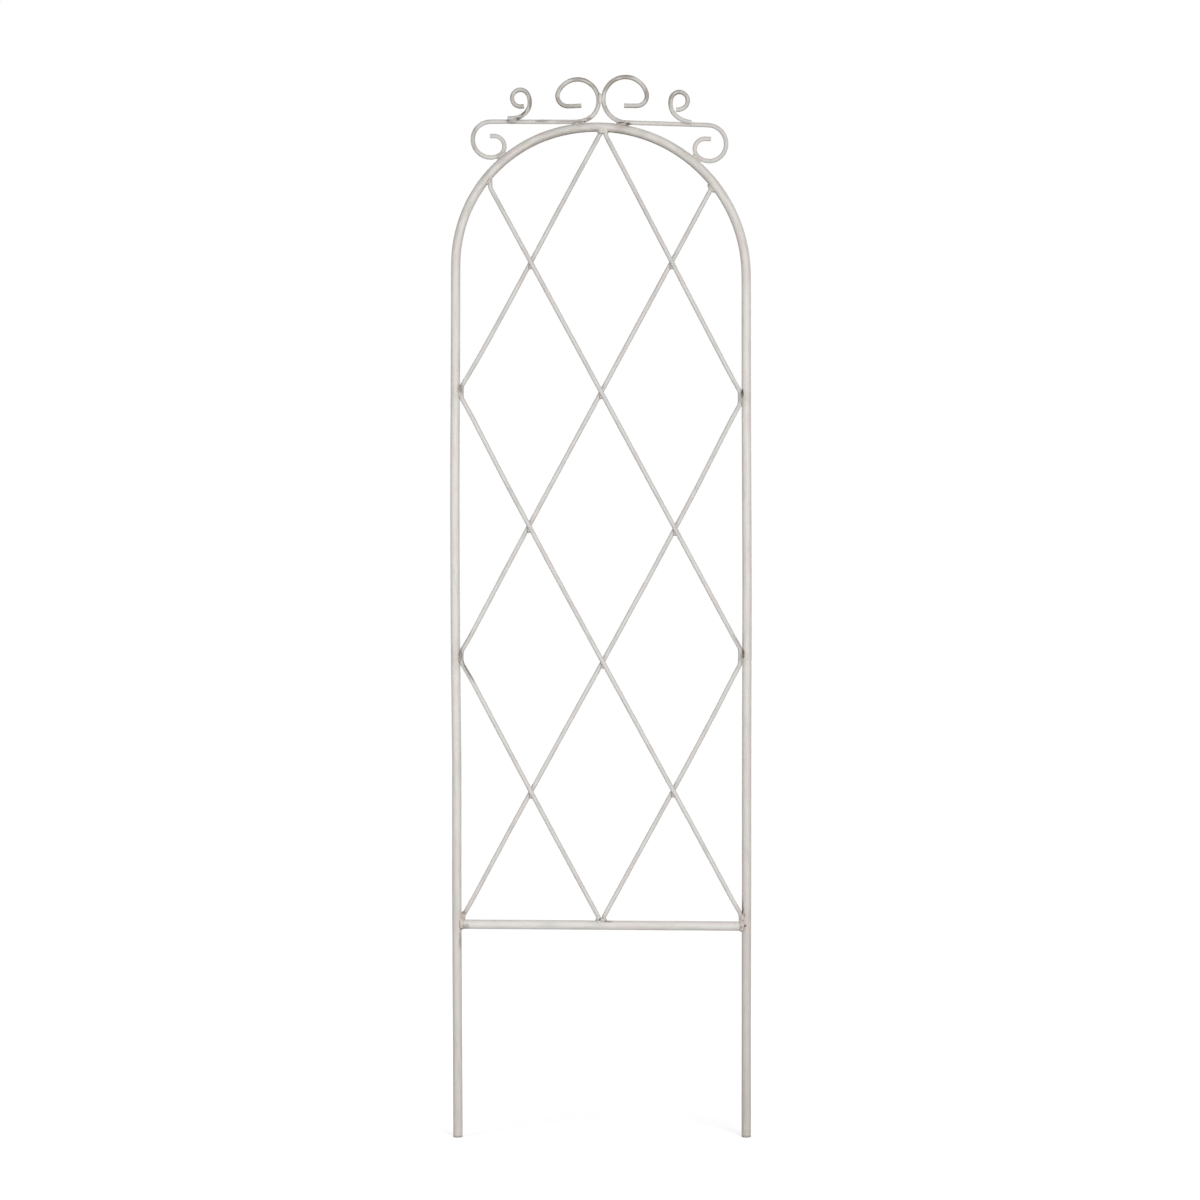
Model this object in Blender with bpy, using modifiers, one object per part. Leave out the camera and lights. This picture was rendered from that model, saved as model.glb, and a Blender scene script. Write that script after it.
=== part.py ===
# Pot trellis: a bent tube hoop on two legs, one crossbar, four once-bent lattice rods and a crest of
# scrolls, all welded together. Metres, +Z up, seen from the front along +Y with +X to the right.
# The origin lies on the ground line, midway between the two leg tips.

import math

import bmesh
import bpy
import numpy as np
from mathutils import Matrix, Vector

# Stock and fit
TUBE_DIAMETER = 0.0105
TUBE_WALL = 0.0012
ROD_DIAMETER = 0.005
FIT_GAP = 0.0003

# Hoop: two legs joined by three arcs. The left leg leans in a little below LEAN_HEIGHT. Each leg bows
# a little where it was bent by hand: (height of the middle, half its length, how far to the right).
LEG_SPACING = 0.328
APEX_HEIGHT = 1.140
LEFT_SHOULDER_RADIUS = 0.1545
RIGHT_SHOULDER_RADIUS = 0.168
SHOULDER_TURN = 75.0
LEAN_HEIGHT = 0.53
LEFT_TOE_IN = 0.0026
LEFT_BOWS = ((0.72, 0.26, -0.0009), (0.42, 0.13, 0.0007))
RIGHT_BOWS = ((0.61, 0.26, 0.0009), (0.33, 0.22, 0.0004))
LEG_STEP = 0.07
CROSSBAR_LEFT_HEIGHT = 0.2402
CROSSBAR_RIGHT_HEIGHT = 0.2379

# Lattice: heights and lengths of the flats where the rods kink against the legs
KINK_RADIUS = 0.008
LEFT_UPPER_KINK = 0.841
LEFT_UPPER_FLAT = 0.0145
LEFT_LOWER_KINK = 0.542
LEFT_LOWER_FLAT = 0.0135
RIGHT_UPPER_KINK = 0.834
RIGHT_UPPER_FLAT = 0.0145
RIGHT_LOWER_KINK = 0.5423
RIGHT_LOWER_FLAT = 0.018

# Lattice: the ends on the crossbar and under the arch, each with its short upright tail. The side ends
# are set in from the legs.
LEFT_FOOT_TAIL = 0.0043
RIGHT_FOOT_TAIL = 0.0095
MIDDLE_FOOT_TAIL = 0.003
FOOT_OFFSET = 0.0003
FOOT_SPREAD = 0.0053
HEAD_OFFSET = 0.0021
HEAD_SPREAD = 0.0058
LEFT_HEAD_TAIL = 0.0015
RIGHT_HEAD_TAIL = 0.0035
LEFT_SIDE_INSET = 0.039
LEFT_SIDE_TAIL = 0.0078
RIGHT_SIDE_INSET = 0.0395
RIGHT_SIDE_TAIL = 0.0005

# Lattice: how far each rod's upper and lower run sways to the right, one third and two thirds down
ROD_1_SWAY = ((0.0002, 0.0012), (-0.0021, -0.0007))
ROD_2_SWAY = ((0.0002, -0.0001), (0.0029, 0.0008))
ROD_3_SWAY = ((0.0003, 0.0002), (0.0015, 0.0008))
ROD_4_SWAY = ((-0.0004, -0.0009), (-0.0004, -0.0005))
SWAY_STEPS = 6

# Big scrolls: bends are (centre-line radius, degrees), from the bar towards the tip of the rod. The left
# one sits a little behind the middle of the arch.
LEFT_BAR = 0.0955
LEFT_LOOP = ((0.0329, 26.0), (0.0215, 47.2), (0.0251, 54.4), (0.0237, 119.0), (0.0117, 116.4))
LEFT_LOOP_TIP = 0.0147
LEFT_HOOK = ((0.0201, 97.3), (0.0206, 106.9), (0.0119, 162.9))
LEFT_HOOK_TIP = 0.0031
LEFT_SCROLL_BEHIND = 0.0025
RIGHT_BAR = 0.0927
RIGHT_LOOP = ((0.0266, 91.1), (0.0249, 161.9), (0.0114, 106.1))
RIGHT_LOOP_TIP = 0.0141
RIGHT_HOOK = ((0.021, 112.6), (0.0189, 108.1), (0.0118, 142.4))
RIGHT_HOOK_TIP = 0.0055

# Small curls, tacked on the front of the scroll bars
LEFT_CURL = ((0.0518, 10.0), (0.0181, 111.4), (0.0095, 175.9), (0.0098, 75.5))
LEFT_CURL_TIP = 0.0014
LEFT_CURL_FOOT = 0.001
LEFT_CURL_SETBACK = 0.0196
LEFT_CURL_RISE = 0.0029
RIGHT_CURL = ((0.0197, 105.5), (0.0097, 208.0), (0.0123, 48.0))
RIGHT_CURL_TIP = 0.001
RIGHT_CURL_FOOT = 0.0045
RIGHT_CURL_SETBACK = 0.0194
RIGHT_CURL_RISE = 0.0037

# Weld beads
SEAM_LENGTH = 0.012
SEAM_WIDTH = 0.0042
CURL_SEAM_LENGTH = 0.008
COLLAR_WIDTH = 0.0024
RING_WIDTH = 0.0042
TACK_LENGTH = 0.0052
TACK_WIDTH = 0.0036
# Beads in the corners above the crossbar: size, height above the bar, and how far each is set in from
# its leg's centre line and from the middle plane
CORNER_LENGTH = 0.0075
CORNER_WIDTH = 0.006
CORNER_DEPTH = 0.0042
CORNER_LIFT = 0.005
LEFT_CORNER = (0.0068, -0.0006)
RIGHT_CORNER = (0.005, -0.0033)

# How finely round stretches are cut
ARC_TOLERANCE = 0.00012
TUBE_SIDES = 16
ROD_SIDES = 10
RING_SIDES = 8
RING_STEPS = 20
BEAD_SEGMENTS = 12
BEAD_RINGS = 7

TUBE_RADIUS = TUBE_DIAMETER / 2
ROD_RADIUS = ROD_DIAMETER / 2
LEG_X = LEG_SPACING / 2
LEG_TO_ROD = TUBE_RADIUS + ROD_RADIUS + FIT_GAP
LAYER = ROD_RADIUS + FIT_GAP / 2
FRONT = -LAYER
BACK = LAYER
MAKING = "trellis_making"


# Scene

def clear_scene():
    for item in list(bpy.data.objects):
        bpy.data.objects.remove(item)


def collection(name):
    group = bpy.data.collections.get(name) or bpy.data.collections.new(name)
    if name not in bpy.context.scene.collection.children:
        bpy.context.scene.collection.children.link(group)
    return group


def enamel(name, colour, roughness):
    material = bpy.data.materials.new(name)
    material.use_nodes = True
    shader = material.node_tree.nodes["Principled BSDF"]
    shader.inputs["Base Color"].default_value = (*colour, 1.0)
    shader.inputs["Roughness"].default_value = roughness
    shader.inputs["Metallic"].default_value = 0.0
    material.diffuse_color = (*colour, 1.0)
    return material


def place(name, mesh, material, smooth=True):
    item = bpy.data.objects.new(name, mesh)
    collection("pot_trellis").objects.link(item)
    mesh.materials.clear()
    mesh.materials.append(material)
    if smooth:
        mesh.shade_smooth()
        mesh.set_sharp_from_angle(angle=math.radians(40))
    return item


# Centre lines

def arc_steps(radius, turn):
    """Number of straight steps that keep an arc within ARC_TOLERANCE."""
    widest = 2 * math.acos(max(0.0, 1 - ARC_TOLERANCE / radius))
    return max(2, math.ceil(abs(turn) / widest))


def bend_line(start, heading, bends, tip):
    """Points of a rod in the XZ plane that turns left through each (radius, degrees) bend, then runs
    straight for tip. The heading is in radians from +X."""
    x, z = start
    points = [(x, z)]
    for radius, degrees in bends:
        turn = math.radians(degrees)
        steps = arc_steps(radius, turn)
        for _ in range(steps):
            chord = 2 * radius * math.sin(turn / steps / 2)
            heading += turn / steps / 2
            x += chord * math.cos(heading)
            z += chord * math.sin(heading)
            heading += turn / steps / 2
            points.append((x, z))
    points.append((x + tip * math.cos(heading), z + tip * math.sin(heading)))
    return points


def rounded(corners, radius):
    """A 3D line through corners, each inner corner replaced by an arc of radius that fits its sides."""
    corners = [Vector(c) for c in corners]
    points = [corners[0]]
    for before, corner, after in zip(corners, corners[1:], corners[2:]):
        back = (before - corner).normalized()
        ahead = (after - corner).normalized()
        half = back.angle(ahead) / 2
        room = 0.45 * min((before - corner).length, (after - corner).length)
        reach = min(radius / math.tan(half), room)
        if half > math.radians(89):
            points.append(corner)
            continue
        bend_radius = reach * math.tan(half)
        centre = corner + (back + ahead).normalized() * (reach / math.cos(half))
        first = corner + back * reach - centre
        turn = math.pi - 2 * half
        axis = first.cross(corner + ahead * reach - centre).normalized()
        steps = arc_steps(bend_radius, turn)
        for i in range(steps + 1):
            points.append(centre + Matrix.Rotation(turn * i / steps, 3, axis) @ first)
    points.append(corners[-1])
    return points


def in_plane(points, y=0.0):
    return [Vector((x, y, z)) for x, z in points]


def nearest(line_a, line_b):
    """The closest pair of points of two 3D lines: (distance, point on a, point on b)."""
    def corners_to_line(points, line):
        p = np.array(points, float)[:, None, :]
        a = np.array(line[:-1], float)[None]
        step = np.array(line[1:], float)[None] - a
        share = np.clip(((p - a) * step).sum(2) / (step ** 2).sum(2), 0, 1)
        on_line = a + share[..., None] * step
        far = np.linalg.norm(p - on_line, axis=2)
        i, j = np.unravel_index(far.argmin(), far.shape)
        return far[i, j], Vector(points[i]), Vector(on_line[i, j])

    far_a, a_1, b_1 = corners_to_line(line_a, line_b)
    far_b, b_2, a_2 = corners_to_line(line_b, line_a)
    return (far_a, a_1, b_1) if far_a <= far_b else (far_b, a_2, b_2)


def leg_x(side, height):
    """Where a leg's centre line stands at a height below the arch. side is -1 for the left leg."""
    x = side * LEG_X
    for middle, reach, amount in (RIGHT_BOWS if side > 0 else LEFT_BOWS):
        share = (height - middle) / reach
        if abs(share) < 1:
            x += amount * math.cos(share * math.pi / 2) ** 2
    if side < 0:
        x += LEFT_TOE_IN * max(0.0, LEAN_HEIGHT - height) / LEAN_HEIGHT
    return x


def leg_points(side, top):
    """A leg's centre line from its square-cut tip up to just below the arch, which begins at top."""
    tip = leg_x(side, TUBE_DIAMETER)
    steps = round(top / LEG_STEP)
    heights = [top * i / steps for i in range(1, steps)]
    return [(tip, 0.0), (tip, TUBE_DIAMETER)] + [(leg_x(side, height), height) for height in heights]


def hoop_line():
    """Left leg tip, up the leg, over the three arcs and down to the right leg tip."""
    left = math.radians(SHOULDER_TURN)
    right = math.pi - math.radians(SHOULDER_TURN)
    crown = (LEG_SPACING - LEFT_SHOULDER_RADIUS * (1 - math.cos(left))
             - RIGHT_SHOULDER_RADIUS * (1 + math.cos(right))) / (math.cos(left) - math.cos(right))
    spring = APEX_HEIGHT - LEFT_SHOULDER_RADIUS * math.sin(left) - crown * (1 - math.sin(left))
    points = leg_points(-1, spring) + [(-LEG_X, spring)]
    arcs = ((LEFT_SHOULDER_RADIUS, 0.0, left), (crown, left, right), (RIGHT_SHOULDER_RADIUS, right, math.pi))
    for radius, begin, end in arcs:
        x, z = points[-1]
        steps = arc_steps(radius, end - begin)
        for i in range(1, steps + 1):
            angle = begin + (end - begin) * i / steps
            points.append((x + radius * (math.cos(begin) - math.cos(angle)),
                           z + radius * (math.sin(angle) - math.sin(begin))))
    points[-1] = (LEG_X, points[-1][1])
    return in_plane(points + leg_points(1, points[-1][1])[::-1])


def arch_above(hoop, x):
    """Point of the hoop's centre line above x, and the direction from it into the hoop."""
    for a, b in zip(hoop, hoop[1:]):
        if a.x <= x <= b.x:
            point = a.lerp(b, (x - a.x) / (b.x - a.x))
            along = (b - a).normalized()
            return point, Vector((along.z, 0, -along.x))
    raise ValueError("the rod's end lies outside the hoop")


def crossbar_line():
    """The crossbar's centre line. Its ends are cut square and butt against the legs."""
    left = Vector((leg_x(-1, CROSSBAR_LEFT_HEIGHT), 0, CROSSBAR_LEFT_HEIGHT))
    right = Vector((leg_x(1, CROSSBAR_RIGHT_HEIGHT), 0, CROSSBAR_RIGHT_HEIGHT))
    inset = (right - left).normalized() * (TUBE_RADIUS + FIT_GAP)
    return [left + inset, right - inset]


def crossbar_at(x):
    """Height of the crossbar's centre line at x."""
    left, right = crossbar_line()
    return left.lerp(right, (x - left.x) / (right.x - left.x)).z


# Solids

def tube_mesh(name, line, radius, sides, caps=True, closed=False, roll=0.0):
    """A round bar or open tube wall along a line, made with a bevelled curve. Its facets are rolled
    about the line by roll radians."""
    curve = bpy.data.curves.new(name, "CURVE")
    curve.dimensions = "3D"
    curve.bevel_depth = radius
    curve.bevel_resolution = (sides - 4) // 2
    curve.use_fill_caps = caps
    spline = curve.splines.new("POLY")
    spline.points.add(len(line) - 1)
    for knot, point in zip(spline.points, line):
        knot.co = (*point, 1.0)
        knot.tilt = roll
    spline.use_cyclic_u = closed
    bar = bpy.data.objects.new(name, curve)
    bpy.context.scene.collection.objects.link(bar)
    evaluated = bar.evaluated_get(bpy.context.evaluated_depsgraph_get())
    mesh = bpy.data.meshes.new_from_object(evaluated)
    mesh.transform(bar.matrix_world)
    mesh.name = name
    bpy.data.objects.remove(bar)
    bpy.data.curves.remove(curve)
    work = bmesh.new()
    work.from_mesh(mesh)
    bmesh.ops.remove_doubles(work, verts=work.verts, dist=1e-6)
    work.to_mesh(mesh)
    work.free()
    return mesh


def cutter(name, mesh):
    item = bpy.data.objects.new(name, mesh)
    collection(MAKING).objects.link(item)
    item.hide_render = True
    item.display_type = "WIRE"
    return item


def clearance(name, line, radius, sides, roll=0.0):
    """The space that a bar needs, FIT_GAP wider all round, for cutting what is welded to it."""
    name += "_clearance"
    return cutter(name, tube_mesh(name, line, radius + FIT_GAP, sides, roll=roll))


def subtract(item, tools):
    for tool in tools:
        cut = item.modifiers.new(tool.name, "BOOLEAN")
        cut.operation = "DIFFERENCE"
        cut.object = tool


# Frame

def make_hoop(hoop, material):
    mesh = tube_mesh("frame_hoop", hoop, TUBE_RADIUS, TUBE_SIDES, caps=False)
    item = place("frame_hoop", mesh, material)
    wall = item.modifiers.new("tube_wall", "SOLIDIFY")
    wall.thickness = TUBE_WALL
    wall.offset = -1
    return clearance("frame_hoop", hoop, TUBE_RADIUS, TUBE_SIDES)


def make_crossbar(material):
    line = crossbar_line()
    roll = math.pi / TUBE_SIDES
    mesh = tube_mesh("crossbar", line, TUBE_RADIUS, TUBE_SIDES, caps=False, roll=roll)
    item = place("crossbar", mesh, material)
    wall = item.modifiers.new("tube_wall", "SOLIDIFY")
    wall.thickness = TUBE_WALL
    wall.offset = -1
    beyond = (line[1] - line[0]).normalized() * FIT_GAP
    return clearance("crossbar", [line[0] - beyond, line[1] + beyond], TUBE_RADIUS, TUBE_SIDES, roll)


# Lattice

def foot_height(x):
    """Height at which a rod that stands on the crossbar ends."""
    return crossbar_at(x) + TUBE_RADIUS + FIT_GAP


def foot(x, layer, tail, end_layer):
    return [(x, layer, foot_height(x) + tail), (x, end_layer, crossbar_at(x))]


def head(hoop, x, layer, tail):
    """The end of a rod under the arch: its point on the arch's centre line and the bend below it."""
    point, inward = arch_above(hoop, x)
    depth = (TUBE_RADIUS + FIT_GAP) / -inward.z
    return [(x, layer, point.z), (x, layer, point.z - depth - tail)]


def kink(side, height, flat, upper, lower):
    x = leg_x(side, height) - side * LEG_TO_ROD
    return [(x, upper, height + flat / 2), (x, lower, height - flat / 2)]


def swayed(top, bottom, sway):
    """A run from top to bottom, bent gently so that it passes the sway at one and two thirds."""
    top, bottom = Vector(top), Vector(bottom)
    along = (bottom - top).normalized()
    right = Vector((-along.z, 0, along.x))
    points = []
    for i in range(SWAY_STEPS + 1):
        t = i / SWAY_STEPS
        shift = 13.5 * t * (1 - t) * (sway[0] * (2 / 3 - t) + sway[1] * (t - 1 / 3))
        points.append(top.lerp(bottom, t) + right * shift)
    return points


def lattice_rods(hoop):
    """Head, upper run, lower run and foot of the four rods. Runs that lean like a backslash lie in front."""
    left_x = leg_x(-1, CROSSBAR_LEFT_HEIGHT) + LEG_TO_ROD
    right_x = leg_x(1, CROSSBAR_RIGHT_HEIGHT) - LEG_TO_ROD
    ends = (
        (head(hoop, HEAD_OFFSET - HEAD_SPREAD / 2, BACK, LEFT_HEAD_TAIL),
         kink(-1, LEFT_UPPER_KINK, LEFT_UPPER_FLAT, BACK, FRONT),
         foot(right_x, FRONT, RIGHT_FOOT_TAIL, 0), ROD_1_SWAY),
        (head(hoop, HEAD_OFFSET + HEAD_SPREAD / 2, FRONT, RIGHT_HEAD_TAIL),
         kink(1, RIGHT_UPPER_KINK, RIGHT_UPPER_FLAT, FRONT, BACK),
         foot(left_x, BACK, LEFT_FOOT_TAIL, 0), ROD_2_SWAY),
        (head(hoop, LEFT_SIDE_INSET - LEG_X, FRONT, LEFT_SIDE_TAIL),
         kink(1, RIGHT_LOWER_KINK, RIGHT_LOWER_FLAT, FRONT, BACK),
         foot(FOOT_OFFSET + FOOT_SPREAD / 2, BACK, MIDDLE_FOOT_TAIL, BACK), ROD_3_SWAY),
        (head(hoop, LEG_X - RIGHT_SIDE_INSET, BACK, RIGHT_SIDE_TAIL),
         kink(-1, LEFT_LOWER_KINK, LEFT_LOWER_FLAT, BACK, FRONT),
         foot(FOOT_OFFSET - FOOT_SPREAD / 2, FRONT, MIDDLE_FOOT_TAIL, FRONT), ROD_4_SWAY),
    )
    rods = {}
    for number, (top, bend, bottom, sway) in enumerate(ends, 1):
        upper = swayed(top[1], bend[0], sway[0])
        lower = swayed(bend[1], bottom[0], sway[1])
        rods[f"lattice_rod_{number}"] = (top[0], upper, lower, bottom[1])
    return rods


def make_lattice(rods, hoop_space, bar_space, material):
    """Makes the four rods and returns the space that each one needs."""
    spaces = {}
    for name, (top, upper, lower, bottom) in rods.items():
        line = rounded([top] + upper + lower + [bottom], KINK_RADIUS)
        item = place(name, tube_mesh(name, line, ROD_RADIUS, ROD_SIDES), material)
        subtract(item, [hoop_space, bar_space])
        spaces[name] = clearance(name, line, ROD_RADIUS, ROD_SIDES)
    return spaces


# Crest

def scroll_shape(bar, loop, loop_tip, hook, hook_tip):
    """A left-hand scroll with its bar along +X from the origin, loop above and hook below."""
    outer = bend_line((0.0, 0.0), math.pi, hook, hook_tip)
    inner = bend_line((bar, 0.0), 0.0, loop, loop_tip)
    return outer[::-1] + inner, len(outer)


def seat_scroll(shape, hoop, behind):
    """Turns and slides a left-hand scroll until its loop touches the middle plane and it rests on the
    hoop at two places, behind by that much. Returns the points and the slope of the bar."""
    points, hook_count = shape
    reach = TUBE_RADIUS + ROD_RADIUS + FIT_GAP

    def placed(slope):
        turned = [(x * math.cos(slope) - z * math.sin(slope), x * math.sin(slope) + z * math.cos(slope))
                  for x, z in points]
        shift = -(ROD_RADIUS + FIT_GAP / 2) - max(x for x, z in turned)
        low, high = APEX_HEIGHT, APEX_HEIGHT + 0.2
        for _ in range(30):
            lift = (low + high) / 2
            line = in_plane([(x + shift, z + lift) for x, z in turned], behind)
            if nearest(line, hoop)[0] < reach:
                low = lift
            else:
                high = lift
        return in_plane([(x + shift, z + high) for x, z in turned], behind)

    flat, steep = math.radians(-12), math.radians(12)
    for _ in range(26):
        slope = (flat + steep) / 2
        line = placed(slope)
        hook_gap = nearest(line[:hook_count], hoop)[0]
        loop_gap = nearest(line[hook_count - 1:], hoop)[0]
        if hook_gap > loop_gap:
            flat = slope
        else:
            steep = slope
    return line, slope


def mirrored(line):
    return [Vector((-p.x, p.y, p.z)) for p in line]


def curl_line(scroll, hook_count, slope, bends, tip, foot_length, setback, rise):
    """A left-hand small curl whose foot lies along the front of the bar, setback from its outer end."""
    start = scroll[hook_count - 1]
    along = Vector((math.cos(slope), 0, math.sin(slope)))
    up = Vector((-along.z, 0, along.x))
    forward = math.sqrt((ROD_DIAMETER + FIT_GAP) ** 2 - rise ** 2)
    foot_end = start + along * setback + up * rise
    bend_start = foot_end + along * foot_length
    points = [(foot_end.x, foot_end.z)] + bend_line((bend_start.x, bend_start.z), slope, bends, tip)
    return in_plane(points, start.y - forward)


def make_crest(hoop, material):
    """Makes both scrolls and both small curls. Returns their centre lines and the space of each."""
    lines, spaces = {}, {}
    sides = (
        ("left", (LEFT_BAR, LEFT_LOOP, LEFT_LOOP_TIP, LEFT_HOOK, LEFT_HOOK_TIP), LEFT_SCROLL_BEHIND,
         (LEFT_CURL, LEFT_CURL_TIP, LEFT_CURL_FOOT, LEFT_CURL_SETBACK, LEFT_CURL_RISE)),
        ("right", (RIGHT_BAR, RIGHT_LOOP, RIGHT_LOOP_TIP, RIGHT_HOOK, RIGHT_HOOK_TIP), 0.0,
         (RIGHT_CURL, RIGHT_CURL_TIP, RIGHT_CURL_FOOT, RIGHT_CURL_SETBACK, RIGHT_CURL_RISE)),
    )
    for side, scroll_sizes, behind, curl_sizes in sides:
        own_hoop = hoop if side == "left" else mirrored(hoop)[::-1]
        shape = scroll_shape(*scroll_sizes)
        scroll, slope = seat_scroll(shape, own_hoop, behind)
        curl = curl_line(scroll, shape[1], slope, *curl_sizes)
        for name, line in ((side + "_scroll", scroll), (side + "_small_curl", curl)):
            if side == "right":
                line = mirrored(line)
            place(name, tube_mesh(name, line, ROD_RADIUS, ROD_SIDES), material)
            lines[name] = line
            spaces[name] = clearance(name, line, ROD_RADIUS, ROD_SIDES)
    return lines, spaces


# Welds

def bead_mesh(name, centre, across, along, size):
    """An egg-shaped bead: size is its length across, its depth and its length along."""
    along = along.normalized()
    across = (across - along * across.dot(along)).normalized()
    deep = along.cross(across)
    turn = Matrix((across, deep, along)).transposed().to_4x4()
    work = bmesh.new()
    bmesh.ops.create_uvsphere(work, u_segments=BEAD_SEGMENTS, v_segments=BEAD_RINGS, radius=0.5)
    bmesh.ops.transform(work, matrix=Matrix.Translation(centre) @ turn @ Matrix.Diagonal((*size, 1)),
                        verts=work.verts)
    mesh = bpy.data.meshes.new(name)
    work.to_mesh(mesh)
    work.free()
    return mesh


def bead(name, centre, across, along, size, tools, material):
    item = place(name, bead_mesh(name, centre, across, along, size), material)
    subtract(item, tools)


def seam(name, line_a, radius_a, line_b, radius_b, tools, material, deep=Vector((0, -1, 0)),
         length=SEAM_LENGTH):
    """A bead laid in the groove where two bars touch, on the side that deep points to."""
    touch, on_a, on_b = nearest(line_a, line_b)
    across = (on_b - on_a).normalized()
    contact = on_a + across * (radius_a + FIT_GAP / 2)
    narrow = min(radius_a, radius_b)
    along = across.cross(deep)
    deep = along.cross(across).normalized()
    bead(name, contact + deep * narrow * 0.75, across, along, (SEAM_WIDTH, SEAM_WIDTH * 0.8, length), tools,
         material)


def ring_weld(name, end, along, tools, material):
    """The bead round a crossbar end, in the groove between the bar's rim and the leg. Returns the space
    that it needs."""
    level = Vector((0, 1, 0))
    up = along.cross(level)
    line = []
    for i in range(RING_STEPS):
        angle = 2 * math.pi * (i + 0.5) / RING_STEPS
        line.append(end + (level * math.cos(angle) + up * math.sin(angle)) * TUBE_RADIUS)
    radius = RING_WIDTH / 2
    mesh = tube_mesh(name, line, radius, RING_SIDES, caps=False, closed=True)
    subtract(place(name, mesh, material), tools)
    name += "_clearance"
    return cutter(name, tube_mesh(name, line, radius + FIT_GAP, RING_SIDES, caps=False, closed=True))


def crossing(run_a, run_b):
    """Where two runs cross, seen from the front."""
    for a, b in zip(run_a, run_a[1:]):
        for c, d in zip(run_b, run_b[1:]):
            across = (b.x - a.x) * (d.z - c.z) - (b.z - a.z) * (d.x - c.x)
            on_a = ((c.x - a.x) * (d.z - c.z) - (c.z - a.z) * (d.x - c.x)) / across
            on_b = ((c.x - a.x) * (b.z - a.z) - (c.z - a.z) * (b.x - a.x)) / across
            if 0 <= on_a <= 1 and 0 <= on_b <= 1:
                return Vector((a.x + on_a * (b.x - a.x), 0, a.z + on_a * (b.z - a.z))), b - a
    raise ValueError("the runs do not cross")


def make_head_welds(hoop, rods, hoop_space, spaces, material):
    """The beads round the rod ends under the arch."""
    collar = ROD_DIAMETER + COLLAR_WIDTH
    ends = (("weld_top_centre", (1, 2), HEAD_SPREAD), ("weld_top_left", (3,), 0), ("weld_top_right", (4,), 0))
    for name, numbers, spread in ends:
        names = [f"lattice_rod_{n}" for n in numbers]
        x = sum(rods[n][0][0] for n in names) / len(names)
        y = sum(rods[n][0][1] for n in names) / len(names)
        point, inward = arch_above(hoop, x)
        spot = Vector((x, y, point.z - (TUBE_RADIUS + FIT_GAP) / -inward.z))
        size = ((spread + collar) / -inward.z, collar + (LAYER if spread else 0), COLLAR_WIDTH * 1.8)
        bead(name, spot, Vector((-inward.z, 0, inward.x)), inward, size,
             [hoop_space] + [spaces[n] for n in names], material)


def make_kink_welds(hoop_space, spaces, material):
    """The beads in the front groove between each leg and the flat of a rod."""
    kinks = (("weld_left_upper", -1, LEFT_UPPER_KINK, LEFT_UPPER_FLAT, "lattice_rod_1", BACK),
             ("weld_right_upper", 1, RIGHT_UPPER_KINK, RIGHT_UPPER_FLAT, "lattice_rod_2", FRONT),
             ("weld_right_lower", 1, RIGHT_LOWER_KINK, RIGHT_LOWER_FLAT, "lattice_rod_3", FRONT),
             ("weld_left_lower", -1, LEFT_LOWER_KINK, LEFT_LOWER_FLAT, "lattice_rod_4", BACK))
    for name, side, height, flat, rod, upper in kinks:
        x = leg_x(side, height) - side * (TUBE_RADIUS + FIT_GAP / 2)
        bead(name, Vector((x, -ROD_RADIUS * 0.75, height)), Vector((1, 0, 0)), Vector((0, 2 * upper, flat)),
             (SEAM_WIDTH, SEAM_WIDTH * 0.8, SEAM_LENGTH), [hoop_space, spaces[rod]], material)


def make_foot_welds(hoop_space, bar_space, spaces, material):
    """The beads round the crossbar's ends, in the corners above them and at the rods' feet in the middle."""
    collar = ROD_DIAMETER + COLLAR_WIDTH
    ends = crossbar_line()
    along = (ends[1] - ends[0]).normalized()
    for word, side, end, rod, (inset, y) in (("left", -1, ends[0], "lattice_rod_2", LEFT_CORNER),
                                             ("right", 1, ends[1], "lattice_rod_1", RIGHT_CORNER)):
        tools = [hoop_space, bar_space, spaces[rod]]
        ring_space = ring_weld("weld_crossbar_" + word, end, along, tools, material)
        x = leg_x(side, end.z) - side * inset
        bead("weld_corner_" + word, Vector((x, y, foot_height(x) + CORNER_LIFT)), Vector((1, 0, 0)),
             Vector((0, 0, 1)), (CORNER_WIDTH, CORNER_DEPTH, CORNER_LENGTH), tools + [ring_space], material)
    spot = Vector((FOOT_OFFSET, 0, foot_height(FOOT_OFFSET) + COLLAR_WIDTH / 4))
    bead("weld_bottom_centre", spot, Vector((1, 0, 0)), Vector((0, 0, 1)),
         (FOOT_SPREAD + collar, collar + LAYER, COLLAR_WIDTH * 1.6),
         [bar_space, spaces["lattice_rod_3"], spaces["lattice_rod_4"]], material)


def make_crossing_welds(rods, spaces, material):
    """A tack in the lower crotch of each place where two rods cross."""
    upper = {n: rods[f"lattice_rod_{n}"][1] for n in (1, 2, 3, 4)}
    lower = {n: rods[f"lattice_rod_{n}"][2] for n in (1, 2, 3, 4)}
    pairs = ((upper, 1, upper, 3), (upper, 2, upper, 4), (upper, 3, upper, 4), (lower, 1, upper, 4),
             (lower, 2, upper, 3), (lower, 1, lower, 2), (lower, 2, lower, 4), (lower, 1, lower, 3))
    for number, (runs_a, a, runs_b, b) in enumerate(pairs, 1):
        spot, along = crossing(runs_a[a], runs_b[b])
        lean = math.atan(abs(along.x / along.z))
        spot.z -= ROD_RADIUS / math.sin(lean)
        bead(f"weld_crossing_{number}", spot, Vector((1, 0, 0)), Vector((0, 0, 1)),
             (TACK_WIDTH, TACK_LENGTH, TACK_LENGTH),
             [spaces[f"lattice_rod_{a}"], spaces[f"lattice_rod_{b}"]], material)


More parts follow.
